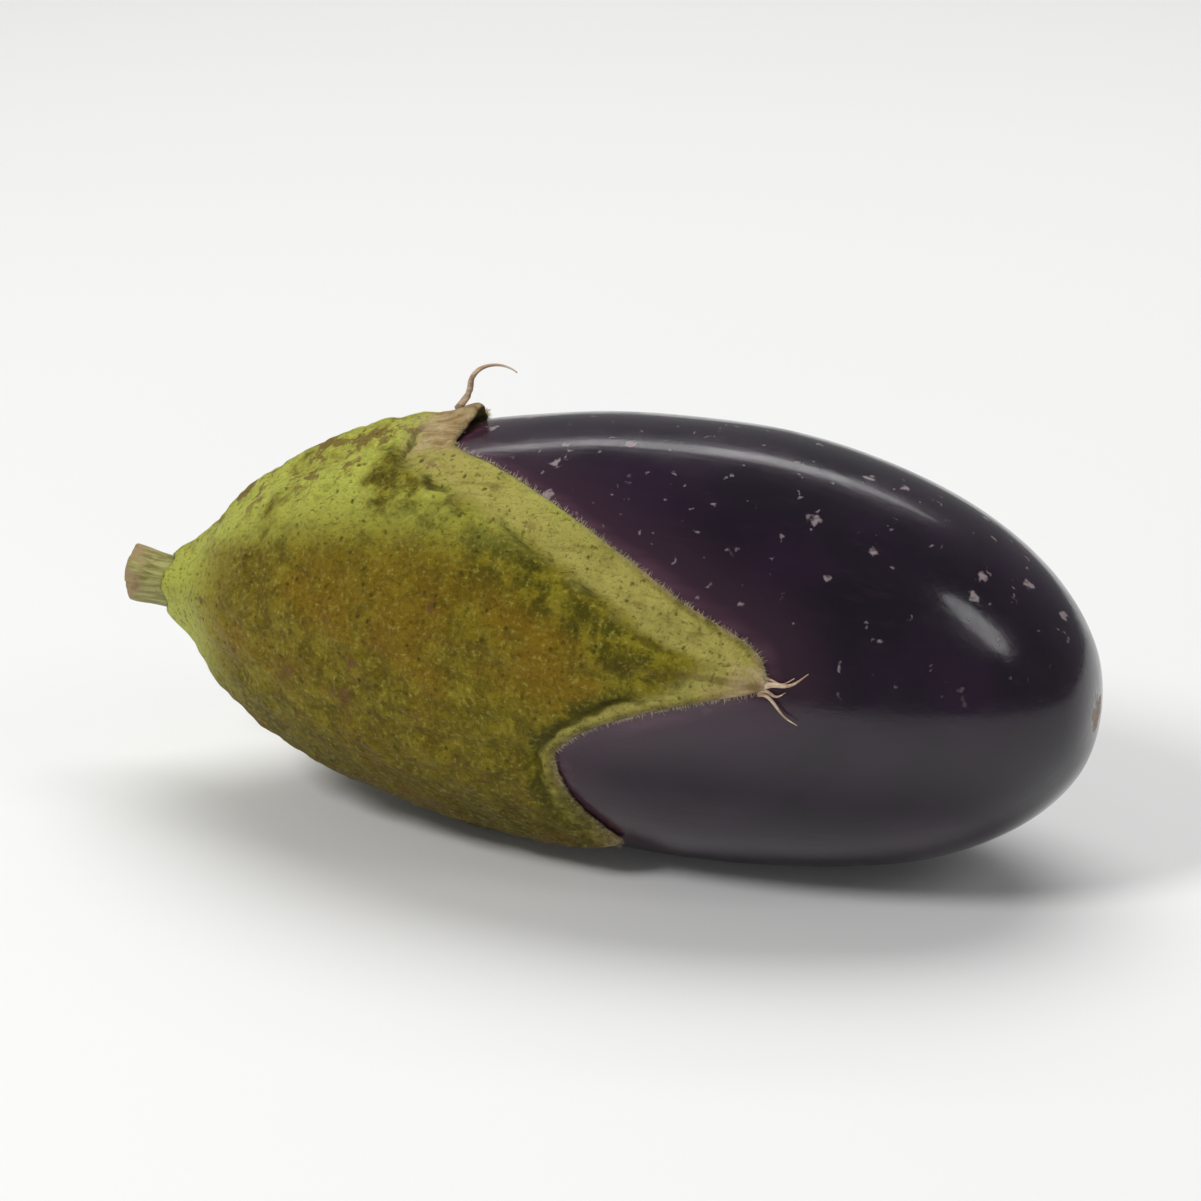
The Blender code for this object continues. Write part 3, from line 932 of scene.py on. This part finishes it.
# Soft lamps that look at the eggplant from these directions, in degrees, at these distances. Only
# those that show may be seen in its gloss.
Lamp = namedtuple("Lamp", "name azimuth elevation distance width height power shows")
LAMPS = (
    Lamp("top", 190, 66, 1.1, 1.2, 0.7, 8.0, False),
    Lamp("streak", 196, 44, 1.1, 1.0, 0.14, 1.2, True),
    Lamp("front", 30, 9, 1.3, 1.3, 0.50, 2.4, False),
    Lamp("side", 80, 40, 0.9, 0.18, 0.42, 0.7, True),
    Lamp("fill", -35, 44, 1.0, 0.3, 0.3, 4.8, False),
)


def make_floor():
    """A plain pale floor."""
    s = Surface("studio_floor", Roughness=0.55, IOR=1.3)
    mesh = bpy.data.meshes.new("floor")
    angles = [2 * math.pi * i / FLOOR_SIDES for i in range(FLOOR_SIDES)]
    rim = [(FLOOR_RADIUS * math.cos(a), FLOOR_RADIUS * math.sin(a), 0) for a in angles]
    mesh.from_pydata(rim, [], [tuple(range(FLOOR_SIDES))])
    mesh.materials.append(s.finished(s.mix(s.noise(0.4, 2), FLOOR_DARK, FLOOR_LIGHT)))
    floor = bpy.data.objects.new("floor", mesh)
    bpy.context.scene.collection.objects.link(floor)
    floor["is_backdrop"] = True


def direction(azimuth, elevation):
    """The direction from the eggplant to a viewer there."""
    a = math.radians(azimuth)
    e = math.radians(elevation)
    return Vector((math.sin(a) * math.cos(e), -math.cos(a) * math.cos(e), math.sin(e)))


def aim(name, data, target, azimuth, elevation, distance):
    """A lamp or camera at this distance from the target, looking at it."""
    holder = bpy.data.objects.new(name, data)
    bpy.context.scene.collection.objects.link(holder)
    back = direction(azimuth, elevation)
    holder.location = target + back * distance
    holder.rotation_euler = (-back).to_track_quat("-Z", "Y").to_euler()
    return holder


def make_studio():
    """Soft light from all round, the lamps and the camera."""
    scene = bpy.context.scene
    scene.view_settings.view_transform = "Standard"
    scene.world = bpy.data.worlds.new("studio")
    scene.world.use_nodes = True
    backdrop = scene.world.node_tree.nodes["Background"]
    backdrop.inputs["Color"].default_value = WORLD_COLOUR
    backdrop.inputs["Strength"].default_value = WORLD_STRENGTH
    low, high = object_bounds()
    target = (low + high) / 2
    for lamp in LAMPS:
        light = bpy.data.lights.new(lamp.name, "AREA")
        light.shape = "ELLIPSE"
        light.size = lamp.width
        light.size_y = lamp.height
        light.energy = lamp.power
        holder = aim(lamp.name, light, target, lamp.azimuth, lamp.elevation, lamp.distance)
        holder.visible_glossy = lamp.shows
    lens = bpy.data.cameras.new("camera")
    lens.lens = CAMERA_LENS
    seen_width = (high.x - low.x) * math.cos(math.radians(CAMERA_AZIMUTH))
    distance = seen_width / FRAME_FILL * CAMERA_LENS / lens.sensor_width
    scene.camera = aim("camera", lens, target, CAMERA_AZIMUTH, CAMERA_ELEVATION, distance)


make_fruit(skin_material())
make_calyx(calyx_material())
make_stem(stem_material())
make_fibres(dry_material())
make_fuzz(hair_material())
make_floor()
make_studio()
